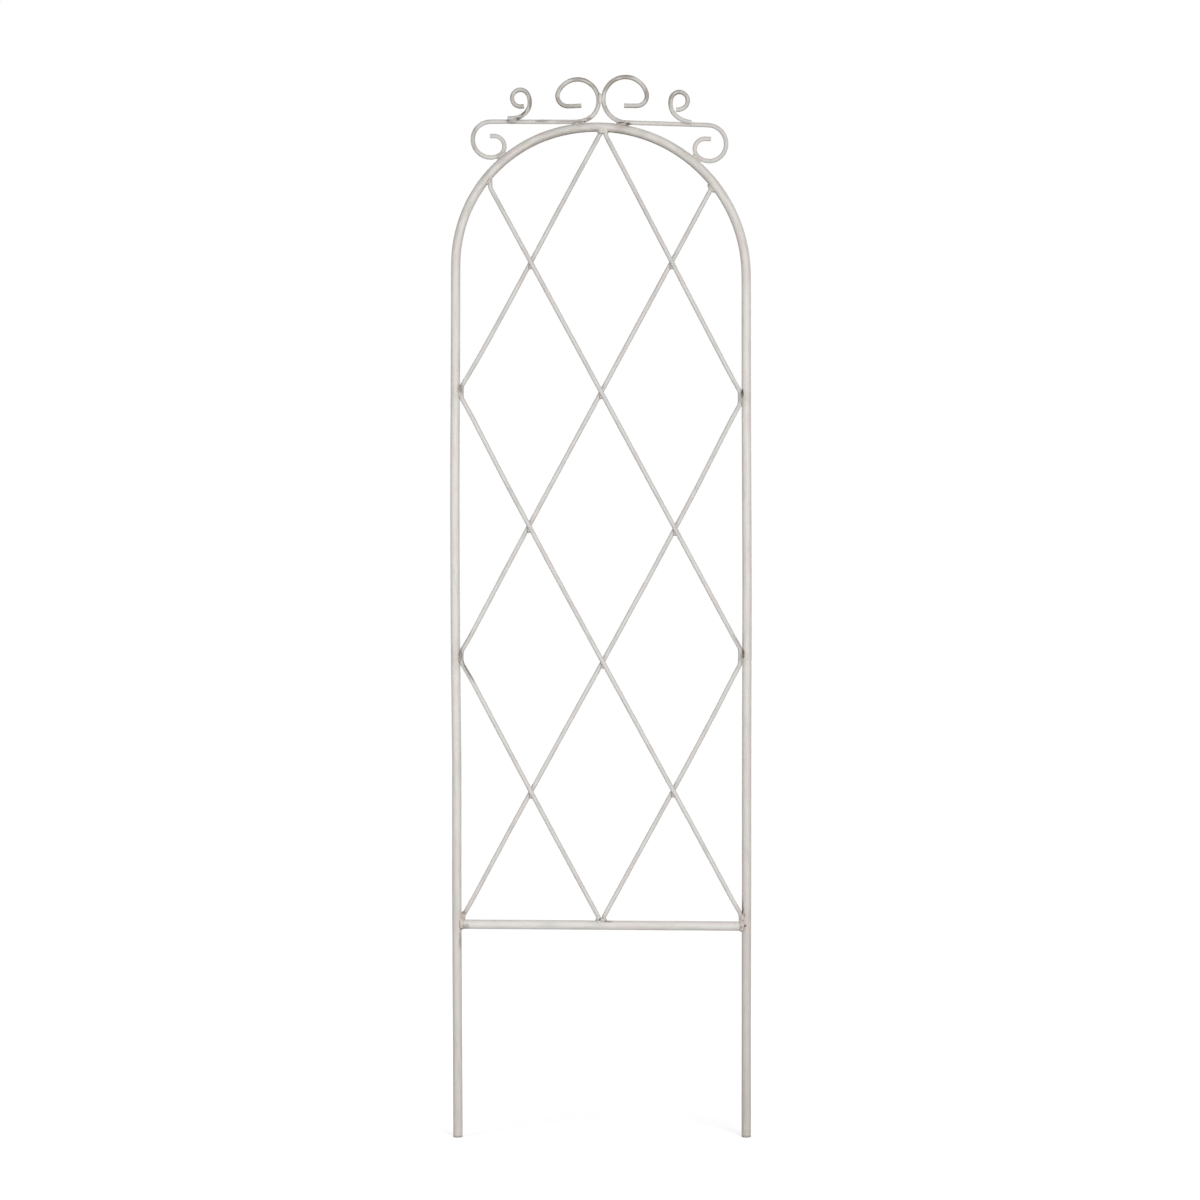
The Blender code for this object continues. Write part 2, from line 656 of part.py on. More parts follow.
def make_crest_welds(hoop, hoop_space, lines, spaces, material):
    left, right = lines["left_scroll"], lines["right_scroll"]
    seam("weld_scrolls", left, ROD_RADIUS, right, ROD_RADIUS, [spaces["left_scroll"], spaces["right_scroll"]],
         material)
    for side, hook in (("left", LEFT_HOOK), ("right", RIGHT_HOOK)):
        count = len(bend_line((0, 0), 0, hook, 1))
        scroll, space = lines[side + "_scroll"], spaces[side + "_scroll"]
        tools = [hoop_space, space]
        seam(f"weld_crown_{side}", hoop, TUBE_RADIUS, scroll[count - 1:], ROD_RADIUS, tools, material)
        seam(f"weld_hook_{side}", hoop, TUBE_RADIUS, scroll[:count], ROD_RADIUS, tools, material)
        curl = lines[side + "_small_curl"]
        first = next(i for i, point in enumerate(curl) if (point - curl[0]).length > CURL_SEAM_LENGTH / 2)
        seam(f"weld_curl_{side}", curl[first:first + 2], ROD_RADIUS, scroll, ROD_RADIUS,
             [space, spaces[side + "_small_curl"]], material, Vector((0, -0.5, -1)), CURL_SEAM_LENGTH)


def build():
    clear_scene()
    frame_enamel = enamel("frame_enamel", (0.70, 0.675, 0.64), 0.55)
    rod_enamel = enamel("rod_enamel", (0.66, 0.64, 0.61), 0.6)
    weld_enamel = enamel("weld_enamel", (0.50, 0.46, 0.42), 0.7)
    hoop = hoop_line()
    hoop_space = make_hoop(hoop, frame_enamel)
    bar_space = make_crossbar(frame_enamel)
    rods = lattice_rods(hoop)
    rod_spaces = make_lattice(rods, hoop_space, bar_space, rod_enamel)
    lines, crest_spaces = make_crest(hoop, rod_enamel)
    make_head_welds(hoop, rods, hoop_space, rod_spaces, weld_enamel)
    make_kink_welds(hoop_space, rod_spaces, weld_enamel)
    make_foot_welds(hoop_space, bar_space, rod_spaces, weld_enamel)
    make_crossing_welds(rods, rod_spaces, weld_enamel)
    make_crest_welds(hoop, hoop_space, lines, crest_spaces, weld_enamel)
    bpy.context.view_layer.update()


build()
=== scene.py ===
# Pot trellis: paint, welds, light and camera for the welded steel frame and its scroll crest.

import math

import bmesh
import bpy
import numpy as np
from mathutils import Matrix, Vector
from mathutils.bvhtree import BVHTree


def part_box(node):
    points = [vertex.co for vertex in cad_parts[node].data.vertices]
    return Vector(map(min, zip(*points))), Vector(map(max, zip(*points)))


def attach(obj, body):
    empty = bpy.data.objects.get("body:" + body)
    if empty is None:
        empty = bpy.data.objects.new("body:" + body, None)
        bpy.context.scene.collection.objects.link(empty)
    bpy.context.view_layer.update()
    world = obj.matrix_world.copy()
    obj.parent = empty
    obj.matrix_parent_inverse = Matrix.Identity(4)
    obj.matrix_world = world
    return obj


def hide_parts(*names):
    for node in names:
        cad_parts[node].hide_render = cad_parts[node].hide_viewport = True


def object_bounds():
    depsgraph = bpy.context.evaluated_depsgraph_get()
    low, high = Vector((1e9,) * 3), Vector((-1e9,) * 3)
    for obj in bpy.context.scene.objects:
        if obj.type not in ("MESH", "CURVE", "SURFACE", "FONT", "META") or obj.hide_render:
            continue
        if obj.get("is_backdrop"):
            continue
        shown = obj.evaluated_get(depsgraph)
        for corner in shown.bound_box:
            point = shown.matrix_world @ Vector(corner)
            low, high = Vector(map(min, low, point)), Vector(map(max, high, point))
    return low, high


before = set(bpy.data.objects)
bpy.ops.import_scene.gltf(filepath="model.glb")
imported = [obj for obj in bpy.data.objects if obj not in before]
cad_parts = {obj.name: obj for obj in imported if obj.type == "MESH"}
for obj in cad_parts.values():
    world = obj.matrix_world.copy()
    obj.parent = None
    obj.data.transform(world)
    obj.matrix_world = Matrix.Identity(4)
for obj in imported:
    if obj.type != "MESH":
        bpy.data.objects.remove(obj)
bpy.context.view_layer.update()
print("frame loaded,", len(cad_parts), "nodes")


# Small helpers

def pick(piece):
    # everything else is deselected first, because operators act on all that is selected
    bpy.ops.object.select_all(action="DESELECT")
    piece.select_set(True)
    bpy.context.view_layer.objects.active = piece


def applyAll(piece):
    pick(piece)
    for modifier in list(piece.modifiers):
        bpy.ops.object.modifier_apply(modifier=modifier.name)


def lumpTexture(name, size, depth):
    texture = bpy.data.textures.new(name, "CLOUDS")
    texture.noise_scale = size
    texture.noise_depth = depth
    return texture


mergeDistance = 0.00001             # metres
rimAngle = math.radians(50)         # edges sharper than this stay edges
flatPair = math.radians(30)         # triangles that make a quad: how flat it is, and how square
squarePair = math.radians(60)


def copyOfNode(name):
    # the node's loose triangles, merged and paired up into quads
    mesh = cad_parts[name].data.copy()
    mesh.materials.clear()
    piece = bpy.data.objects.new(name + "_painted", mesh)
    bpy.context.scene.collection.objects.link(piece)
    pick(piece)
    bpy.ops.mesh.customdata_custom_splitnormals_clear()
    bpy.ops.object.mode_set(mode="EDIT")
    bpy.ops.mesh.select_mode(type="EDGE")
    bpy.ops.mesh.select_all(action="SELECT")
    bpy.ops.mesh.remove_doubles(threshold=mergeDistance)
    bpy.ops.mesh.tris_convert_to_quads(face_threshold=flatPair, shape_threshold=squarePair)
    bpy.ops.mesh.select_all(action="DESELECT")
    bpy.ops.object.mode_set(mode="OBJECT")
    return piece


def pointsOf(mesh):
    points = np.empty(len(mesh.vertices) * 3, np.float32)
    mesh.vertices.foreach_get("co", points)
    return points.reshape(-1, 3)


def edgeLengths(mesh):
    points = pointsOf(mesh)
    ends = np.empty(len(mesh.edges) * 2, np.int32)
    mesh.edges.foreach_get("vertices", ends)
    ends = ends.reshape(-1, 2)
    return np.linalg.norm(points[ends[:, 0]] - points[ends[:, 1]], axis=1)


def storeSpots(piece, spots):
    stored = piece.data.attributes.new("barSpace", "FLOAT_VECTOR", "POINT")
    stored.data.foreach_set("vector", spots.astype(np.float32).ravel())


def cutLongFaces(piece, longest):
    # straight stretches come as single long faces, halved here until they are short enough to shape
    pick(piece)
    while edgeLengths(piece.data).max() > longest:
        piece.data.edges.foreach_set("select", edgeLengths(piece.data) > longest)
        bpy.ops.object.mode_set(mode="EDIT")
        bpy.ops.mesh.subdivide(number_cuts=1)
        bpy.ops.mesh.select_all(action="DESELECT")
        bpy.ops.object.mode_set(mode="OBJECT")


def keepRims(piece, crease):
    # cut ends stay crisp when the bar is smoothed
    pick(piece)
    bpy.ops.object.mode_set(mode="EDIT")
    bpy.ops.mesh.edges_select_sharp(sharpness=rimAngle)
    bpy.ops.transform.edge_crease(value=crease)
    bpy.ops.mesh.select_all(action="DESELECT")
    bpy.ops.object.mode_set(mode="OBJECT")


# Where a point of a bar would be if the bar were straight

tracing = {
    "above": 0.00002,       # metres off a face where its probe starts
    "probe": 1.9,           # radii that the probe goes: a face inside a tube meets the other wall
    "inset": 0.96,          # radii from the middle of an outer face to the middle line
    "gather": 0.4,          # radii round a stop of the walk
    "stride": 1.4,          # its longest step, in longest edges
}


def walk(middles, here, gather, reach):
    # from stop to stop along the bar, each the mean of the middles round the nearest one left
    line = [here]
    while True:
        away = np.linalg.norm(middles - here, axis=1)
        middles = middles[away > gather]
        away = away[away > gather]
        if not len(middles) or away.min() > reach:
            return np.array(line)
        nearest = middles[away.argmin()]
        here = middles[np.linalg.norm(middles - nearest, axis=1) < gather].mean(0)
        line.append(here)


def middleLine(piece, radius):
    # each outer face lies one radius from the middle line
    shape = bmesh.new()
    shape.from_mesh(piece.data)
    tree = BVHTree.FromBMesh(shape)
    middles = []
    for face in shape.faces:
        centre, outwards = face.calc_center_median(), face.normal
        probe = tree.ray_cast(centre + outwards * tracing["above"], outwards, radius * tracing["probe"])
        if probe[0] is None:
            middles.append(centre - outwards * radius * tracing["inset"])
    shape.free()
    middles = np.array(middles)
    gather = radius * tracing["gather"]
    reach = edgeLengths(piece.data).max() * tracing["stride"]
    end = walk(middles, middles[0], gather, reach)[-1]
    return walk(middles, end, gather, reach)


def unroll(piece, line, start):
    # stores, for each point, how far along the bar it is and how far off the middle line, both ways
    atATime = 4000
    points = pointsOf(piece.data).astype(float)
    steps = line[1:] - line[:-1]
    lengths = np.linalg.norm(steps, axis=1)
    passed = np.concatenate([[0], np.cumsum(lengths)[:-1]]) + start
    along = steps / lengths[:, None]
    sideways = np.stack([-along[:, 2], np.zeros(len(along)), along[:, 0]], axis=1)
    spots = np.empty_like(points)
    for first in range(0, len(points), atATime):
        some = points[first:first + atATime]
        share = ((some[:, None] - line[None, :-1]) * along).sum(2) / lengths
        share[:, 1:] = share[:, 1:].clip(0, None)      # the bar's own ends run on past the line
        share[:, :-1] = share[:, :-1].clip(None, 1)
        off = some[:, None] - (line[None, :-1] + steps * share[..., None])
        best = np.linalg.norm(off, axis=2).argmin(1)
        rows = np.arange(len(some))
        offset = off[rows, best]
        spots[first:first + atATime, 0] = passed[best] + share[rows, best] * lengths[best]
        spots[first:first + atATime, 1] = (offset * sideways[best]).sum(1)
        spots[first:first + atATime, 2] = offset[:, 1]
    storeSpots(piece, spots)


# Browning round the welds: how dark each is, and how far it spreads in metres

weldBrowning = {
    "weld_crown_right": (0.35, 0.009),
    "weld_crown_left": (0.20, 0.009),
    "weld_curl_left": (0.35, 0.008),
    "weld_curl_right": (0.08, 0.007),
    "weld_top_centre": (0.04, 0.007),
    "weld_scrolls": (0.04, 0.007),
    "weld_hook_left": (0.20, 0.007),
    "weld_hook_right": (0.08, 0.007),
    "weld_left_upper": (0.25, 0.009),
    "weld_left_lower": (0.25, 0.012),
    "weld_right_upper": (0.35, 0.009),
    "weld_right_lower": (0.30, 0.009),
    "weld_corner_left": (0.20, 0.009),
    "weld_corner_right": (0.25, 0.009),
    "weld_crossbar_left": (0.10, 0.009),
    "weld_crossbar_right": (0.15, 0.009),
    "weld_bottom_centre": (0.15, 0.008),
    "others": (0.12, 0.007),
}
weldSpots = []
for name in sorted(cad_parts):
    if name.startswith("weld_"):
        low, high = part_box(name)
        dark, spread = weldBrowning.get(name, weldBrowning["others"])
        weldSpots.append((np.array((low + high) / 2), dark, spread))


def brownNearWelds(piece):
    points = pointsOf(piece.data)
    brown = np.zeros(len(points))
    for spot, dark, spread in weldSpots:
        away = np.linalg.norm(points - spot, axis=1)
        brown = np.maximum(brown, dark * np.exp(-(away / spread) ** 2))
    near = piece.data.attributes.new("weldBrown", "FLOAT", "POINT")
    near.data.foreach_set("value", brown.astype(np.float32))


# Paint

def newGroup(name, inputs, outputs):
    group = bpy.data.node_groups.new(name, "ShaderNodeTree")
    for socket, kind, value in inputs:
        made = group.interface.new_socket(name=socket, in_out="INPUT", socket_type=kind)
        made.default_value = value
    for socket, kind in outputs:
        group.interface.new_socket(name=socket, in_out="OUTPUT", socket_type=kind)
    return group


def addNode(tree, kind, inputs=None, **settings):
    node = tree.nodes.new(kind)
    for key, value in settings.items():
        setattr(node, key, value)
    for key, value in (inputs or {}).items():
        if isinstance(value, bpy.types.NodeSocket):
            tree.links.new(value, node.inputs[key])
        else:
            node.inputs[key].default_value = value
    return node


def times(tree, a, b):
    return addNode(tree, "ShaderNodeMath", {0: a, 1: b}, operation="MULTIPLY").outputs[0]


def plus(tree, a, b):
    return addNode(tree, "ShaderNodeMath", {0: a, 1: b}, operation="ADD").outputs[0]


def atMostOne(tree, a):
    return addNode(tree, "ShaderNodeMath", {0: a, 1: 1.0}, operation="MINIMUM").outputs[0]


def larger(tree, a, b):
    return addNode(tree, "ShaderNodeMath", {0: a, 1: b}, operation="MAXIMUM").outputs[0]


def seenRays(tree):
    # one for rays from the camera, straight, mirrored or through glass, and nought for light's own rays
    rays = addNode(tree, "ShaderNodeLightPath").outputs
    seen = larger(tree, rays["Is Camera Ray"], rays["Is Glossy Ray"])
    return larger(tree, seen, rays["Is Transmission Ray"])


def blendColours(tree, share, a, b):
    mix = tree.nodes.new("ShaderNodeMix")
    mix.data_type = "RGBA"
    for key, value in (("Factor_Float", share), ("A_Color", a), ("B_Color", b)):
        socket = next(s for s in mix.inputs if s.identifier == key)
        if isinstance(value, bpy.types.NodeSocket):
            tree.links.new(value, socket)
        else:
            socket.default_value = value
    return next(s for s in mix.outputs if s.identifier == "Result_Color")


# Noise in the paint: how often it repeats in a metre, and where its mask begins and is full

noiseRoughness = 0.55
paintNoise = {
    "rosy": {"repeats": (24, 120, 120), "shift": (0, 0, 0),
             "from": 0.50, "full": 0.66, "detail": 3.0, "top": 0.85},
    "mossy": {"repeats": (31, 150, 150), "shift": (7, 3, 1),
              "from": 0.50, "full": 0.68, "detail": 3.0, "top": 0.9},
    "blotch": {"repeats": (55, 210, 210), "shift": (2, 9, 4),
               "from": 0.40, "full": 0.66, "detail": 3.0, "top": 1.0},
    "streak": {"repeats": (38, 1300, 1300), "shift": (5, 1, 8),
               "from": 0.46, "full": 0.70, "detail": 4.0, "top": 1.0},
    "dabs": {"repeats": (260, 700, 700), "shift": (1, 6, 2),
             "from": 0.55, "full": 0.72, "detail": 3.0, "top": 1.0},
    "grain": {"repeats": (900, 900, 900), "shift": (0, 0, 0),
              "from": 0.30, "full": 0.70, "detail": 2.0, "top": 1.0},
    "scuff": {"repeats": (420, 420, 420), "shift": (3, 2, 1),
              "from": 0.32, "full": 0.60, "detail": 4.0, "top": 1.0},
    "specks": {"repeats": (1500, 1500, 1500), "shift": (4, 4, 7),
               "from": 0.60, "full": 0.70, "detail": 3.0, "top": 1.0},
}


def paintMask(tree, name, vector):
    look = paintNoise[name]
    placed = addNode(tree, "ShaderNodeMapping",
                     {"Vector": vector, "Scale": look["repeats"], "Location": look["shift"]})
    pattern = addNode(tree, "ShaderNodeTexNoise",
                      {"Vector": placed.outputs["Vector"], "Scale": 1.0, "Detail": look["detail"],
                       "Roughness": noiseRoughness})
    mask = addNode(tree, "ShaderNodeMapRange",
                   {"Value": pattern.outputs["Fac"], "From Min": look["from"], "From Max": look["full"],
                    "To Max": look["top"]},
                   interpolation_type="SMOOTHSTEP")
    return mask.outputs["Result"]


# How much each noise adds to the wash, to the browning and to the paint's roughness and height

paintShares = {
    "washStreak": 0.55,
    "washDabs": 0.45,
    "washBlotch": 0.75,
    "washAnyway": 0.25,
    "crestBlotch": 0.1,
    "brownScuff": 0.6,
    "brownAnyway": 0.4,
    "speckAnyway": 0.3,
    "roughAnyway": 0.46,
    "roughWash": 0.35,
    "roughGrain": 0.08,
    "roughBrown": 0.2,
    "heightStreak": 0.35,
    "heightGrain": 0.25,
    "heightDabs": 0.3,
    "heightSpecks": -0.3,
}

# Painted shade, with some wash, gathers underneath the crest, and painted shade darkens down the legs
# towards the feet: heights in metres, and how far down a face looks

washAndShadePlaces = {
    "legsFrom": 0.75,
    "legsFull": 0.05,
    "legsApart": 0.16,      # half the way between the legs
    "underFrom": -0.25,
    "underFull": -1.0,
}


def makeCoatWithPaintedLight():
    # off-white coat brushed along the bar, with a grey-brown wash wiped over it; the wash colour also
    # lays painted shade at the crest, underneath it and down towards the feet
    group = newGroup("coatWithPaintedLight",
                     [("Paint", "NodeSocketColor", (0.7, 0.68, 0.65, 1)),
                      ("Rosy", "NodeSocketColor", (0.7, 0.62, 0.6, 1)),
                      ("Mossy", "NodeSocketColor", (0.6, 0.6, 0.56, 1)),
                      ("Wash", "NodeSocketColor", (0.4, 0.37, 0.33, 1)),
                      ("Brown", "NodeSocketColor", (0.25, 0.21, 0.18, 1)),
                      ("Wash Amount", "NodeSocketFloat", 0.5),
                      ("Brown Amount", "NodeSocketFloat", 1.0),
                      ("Speck Amount", "NodeSocketFloat", 0.2),
                      ("Patch Length", "NodeSocketFloat", 1.0),
                      ("Crest Wash And Shade", "NodeSocketFloat", 0.0),
                      ("Underside Patina And Shade", "NodeSocketFloat", 1.6),
                      ("Crest From", "NodeSocketFloat", 0.93),
                      ("Crest To", "NodeSocketFloat", 1.14),
                      ("Left Foot Shade", "NodeSocketFloat", 0.0),
                      ("Right Foot Shade", "NodeSocketFloat", 0.0),
                      ("Brown Stain And Shadow", "NodeSocketFloat", 0.0),
                      ("Rosy Stain", "NodeSocketFloat", 0.0),
                      # the pale cream is laid on as painted light
                      ("Pale", "NodeSocketColor", (0.86, 0.84, 0.77, 1)),
                      ("Painted Light", "NodeSocketFloat", 0.0)],
                     [("Colour", "NodeSocketColor"), ("Roughness", "NodeSocketFloat"),
                      ("Height", "NodeSocketFloat")])
    given = group.nodes.new("NodeGroupInput").outputs
    bar = addNode(group, "ShaderNodeAttribute", attribute_name="barSpace").outputs["Vector"]
    near = addNode(group, "ShaderNodeAttribute", attribute_name="weldBrown").outputs["Fac"]
    here = group.nodes.new("ShaderNodeTexCoord").outputs["Object"]
    patches = addNode(group, "ShaderNodeVectorMath", {0: bar, "Scale": given["Patch Length"]},
                      operation="SCALE").outputs["Vector"]
    rosy, mossy = (paintMask(group, name, patches) for name in ("rosy", "mossy"))
    blotch, streak, dabs = (paintMask(group, name, bar) for name in ("blotch", "streak", "dabs"))
    grain, scuff, specks = (paintMask(group, name, here) for name in ("grain", "scuff", "specks"))

    share = paintShares
    brushed = plus(group, times(group, streak, share["washStreak"]),
                   times(group, dabs, share["washDabs"]))
    clouded = plus(group, times(group, blotch, share["washBlotch"]), share["washAnyway"])
    wash = times(group, times(group, brushed, clouded), given["Wash Amount"])
    apart = addNode(group, "ShaderNodeSeparateXYZ", {0: here}).outputs
    # darker towards the crest: part wash, part painted shade where the light falls off at the top
    up = addNode(group, "ShaderNodeMapRange",
                 {"Value": apart["Z"], "From Min": given["Crest From"], "From Max": given["Crest To"]},
                 interpolation_type="SMOOTHSTEP").outputs["Result"]
    # painted shade: darker down the legs towards the feet, where the light falls off
    down = addNode(group, "ShaderNodeMapRange",
                   {"Value": apart["Z"], "From Min": washAndShadePlaces["legsFrom"],
                    "From Max": washAndShadePlaces["legsFull"]}).outputs["Result"]
    down = times(group, down, down)
    rightwards = addNode(group, "ShaderNodeMapRange",
                         {"Value": apart["X"], "From Min": -washAndShadePlaces["legsApart"],
                          "From Max": washAndShadePlaces["legsApart"], "To Min": given["Left Foot Shade"],
                          "To Max": given["Right Foot Shade"]}).outputs["Result"]
    down = times(group, down, rightwards)
    # painted shade under the crest: faces that look down are darkened, partly as patina
    facing = addNode(group, "ShaderNodeNewGeometry").outputs["Normal"]
    facing = addNode(group, "ShaderNodeSeparateXYZ", {0: facing}).outputs["Z"]
    under = addNode(group, "ShaderNodeMapRange",
                    {"Value": facing, "From Min": washAndShadePlaces["underFrom"],
                     "From Max": washAndShadePlaces["underFull"],
                     "To Max": given["Underside Patina And Shade"]}).outputs["Result"]
    crestWashAndShade = times(group, up, plus(group, under, plus(group, blotch, share["crestBlotch"])))
    crestWashAndShade = times(group, crestWashAndShade, given["Crest Wash And Shade"])
    # from here on the wash also carries the painted shade
    wash = atMostOne(group, plus(group, wash, plus(group, crestWashAndShade, down)))
    brown = plus(group, times(group, scuff, share["brownScuff"]), share["brownAnyway"])
    brown = times(group, times(group, near, brown), given["Brown Amount"])
    specked = times(group, specks, plus(group, blotch, share["speckAnyway"]))
    specked = times(group, specked, given["Speck Amount"])
    # the brown stains here also carry painted shadows
    brown = atMostOne(group, plus(group, plus(group, brown, specked), given["Brown Stain And Shadow"]))
    rosy = atMostOne(group, plus(group, rosy, given["Rosy Stain"]))

    colour = blendColours(group, rosy, given["Paint"], given["Rosy"])
    colour = blendColours(group, mossy, colour, given["Mossy"])
    colour = blendColours(group, wash, colour, given["Wash"])
    # painted light: pale cream over spots that are to look more lit
    colour = blendColours(group, given["Painted Light"], colour, given["Pale"])
    colour = blendColours(group, brown, colour, given["Brown"])

    rough = plus(group, times(group, wash, share["roughWash"]), times(group, grain, share["roughGrain"]))
    rough = plus(group, rough, times(group, brown, share["roughBrown"]))
    rough = plus(group, rough, share["roughAnyway"])
    height = plus(group, times(group, streak, share["heightStreak"]),
                  times(group, grain, share["heightGrain"]))
    height = plus(group, height, times(group, dabs, share["heightDabs"]))
    height = plus(group, height, times(group, specks, share["heightSpecks"]))
    result = group.nodes.new("NodeGroupOutput").inputs
    group.links.new(colour, result["Colour"])
    group.links.new(rough, result["Roughness"])
    group.links.new(height, result["Height"])
    return group


# Stains, painted shadows and spots of painted light: place, then reach across and along (m), turn
# (degrees) and strength

stainsAndPaintedLight = {
    "Brown Stain And Shadow": {
        "crown spot": ((0.0305, 1.1427), (0.0038, 0.0027), 10, 1.0),
        "crown line": ((0.0226, 1.1444), (0.0056, 0.0011), 8, 0.8),
        "left crown spot": ((-0.0184, 1.1461), (0.0022, 0.0014), 0, 0.7),
        "left crown line": ((-0.0280, 1.1450), (0.0110, 0.0010), -4, 0.35),
        # dark brown with painted shade in the crotch and under the rising curl
        "left curl foot, shade in the crotch": ((-0.0930, 1.1492), (0.0052, 0.0018), 0, 0.85),
        "left curl, rising, shade under it": ((-0.0872, 1.1558), (0.0024, 0.0075), -32, 0.85),
        "left curl's end": ((-0.1050, 1.1478), (0.0008, 0.0034), 0, 0.8),
        "left bar, outer": ((-0.0668, 1.1468), (0.0100, 0.0020), 0, 0.50),
        "left bar, inner": ((-0.0300, 1.1460), (0.0220, 0.0014), 0, 0.38),
        "left loop's foot": ((-0.0127, 1.1490), (0.0046, 0.0024), 0, 0.55),
        "left curl": ((-0.0905, 1.1690), (0.0180, 0.0230), 0, 0.10),
        "below the loops": ((0.0005, 1.1628), (0.0018, 0.0055), 0, 0.55),
        # darker along the tops and outer sides of the loops and curls
        "left loop, top": ((-0.0260, 1.1958), (0.0240, 0.0030), 0, 0.40),
        "left loop, outside": ((-0.0695, 1.1700), (0.0030, 0.0120), 0, 0.30),
        "right loop, top": ((0.0285, 1.1985), (0.0280, 0.0040), 0, 0.60),
        "right loop, outside": ((0.0525, 1.1770), (0.0040, 0.0160), 0, 0.50),
        "left curl, top": ((-0.0905, 1.1850), (0.0130, 0.0030), 0, 0.45),
        "left curl, inside": ((-0.0795, 1.1660), (0.0026, 0.0130), 0, 0.65),
        "left hook, outside": ((-0.1430, 1.1270), (0.0036, 0.0240), 0, 0.28),
        "right curl, top": ((0.0880, 1.1812), (0.0130, 0.0030), 0, 0.45),
        "left upper kink": ((-0.1590, 0.8450), (0.0040, 0.0070), 0, 0.38),
        # painted shadow along the leg's edge above the kink
        "left leg above it, painted shadow": ((-0.1590, 0.8640), (0.0014, 0.0200), 0, 0.35),
        "streak below it": ((-0.1418, 0.8135), (0.0022, 0.0360), 27.5, 0.50),
        "left lower kink": ((-0.1588, 0.5425), (0.0034, 0.0110), 0, 0.50),
        "streak below that": ((-0.1500, 0.5263), (0.0026, 0.0200), 28, 0.75),
        "streak above it": ((-0.1512, 0.5625), (0.0024, 0.0130), -28, 0.35),
        "right upper kink": ((0.1592, 0.8390), (0.0024, 0.0066), 0, 0.85),
        "right lower kink": ((0.1602, 0.5450), (0.0024, 0.0070), 0, 0.85),
        "right leg above that": ((0.1592, 0.5600), (0.0016, 0.0140), 0, 0.40),
        "right streak above it": ((0.1545, 0.5580), (0.0016, 0.0150), 32, 0.45),
        "left bar end": ((-0.1525, 0.2385), (0.0065, 0.0040), 0, 0.42),
        "left bar end, below": ((-0.1560, 0.2350), (0.0044, 0.0022), 0, 0.80),
        "left rod's foot": ((-0.1550, 0.2530), (0.0026, 0.0022), 30, 0.55),
        "left leg below bar": ((-0.1589, 0.2220), (0.0018, 0.0130), 0, 0.45),
        # painted shadow of the rod's foot along the leg's edge
        "right leg above bar, painted shadow": ((0.1596, 0.2580), (0.0018, 0.0110), 0, 0.75),
        "right bar end, outer": ((0.1628, 0.2388), (0.0022, 0.0016), 35, 0.95),
        "right bar end, inner": ((0.1585, 0.2373), (0.0024, 0.0016), 0, 0.95),
        # painted shadow behind the foot
        "right leg, painted shadow behind the foot": ((0.1620, 0.2508), (0.0010, 0.0034), -10, 0.5),
        "bottom weld, left": ((-0.0016, 0.2456), (0.0022, 0.0022), 0, 0.85),
        "bottom weld, right": ((0.0080, 0.2436), (0.0065, 0.0016), 0, 0.55),
        "left leg's rim": ((-0.1612, 0.0000), (0.0090, 0.0032), 0, 0.50),
        "right leg's rim": ((0.1640, 0.0000), (0.0090, 0.0032), 0, 0.50),
    },
    # painted light: pale spots that lift shade under the crown, between the loops, at the right rod's
    # head and along the right bar and leg
    "Painted Light": {
        "under the crown": ((0.0024, 1.1350), (0.0062, 0.0042), 0, 0.80),
        "right rod's head": ((0.1261, 1.0710), (0.0046, 0.0046), 0, 0.75),
        "between the loops": ((0.0000, 1.1712), (0.0036, 0.0075), 0, 0.70),
        "right bar": ((0.0620, 1.1444), (0.0340, 0.0044), 3, 0.35),
        "right leg, above": ((0.1640, 0.9050), (0.0080, 0.0700), 0, 0.30),
    },
    "Rosy Stain": {
        "leg, upper left": ((-0.1645, 0.8626), (0.0050, 0.0190), 0, 0.8),
        "leg, lower left": ((-0.1640, 0.5480), (0.0050, 0.0200), 0, 0.7),
        "leg, upper right": ((0.1640, 0.8550), (0.0045, 0.0160), 0, 0.7),
        "left corner": ((-0.1630, 0.2420), (0.0060, 0.0190), 0, 0.9),
        "left corner, bead": ((-0.1560, 0.2525), (0.0050, 0.0075), 0, 0.9),
        "right corner": ((0.1600, 0.2400), (0.0070, 0.0140), 0, 0.8),
        "right loop, outer end": ((0.0420, 1.1610), (0.0120, 0.0120), 0, 0.8),
        "crown": ((0.0230, 1.1385), (0.0160, 0.0044), 8, 0.7),
    },
}


stainDepth = 0.012      # metres that a stain reaches front to back
stainEdge = {
    "scale": 460.0,
    "detail": 5.0,
    "roughness": 0.65,
    "ragged": 1.3,          # how far the noise pushes the edge in and out, in reaches
    "from": 1.1,            # reaches at which the stain begins
    "full": 0.45,
}


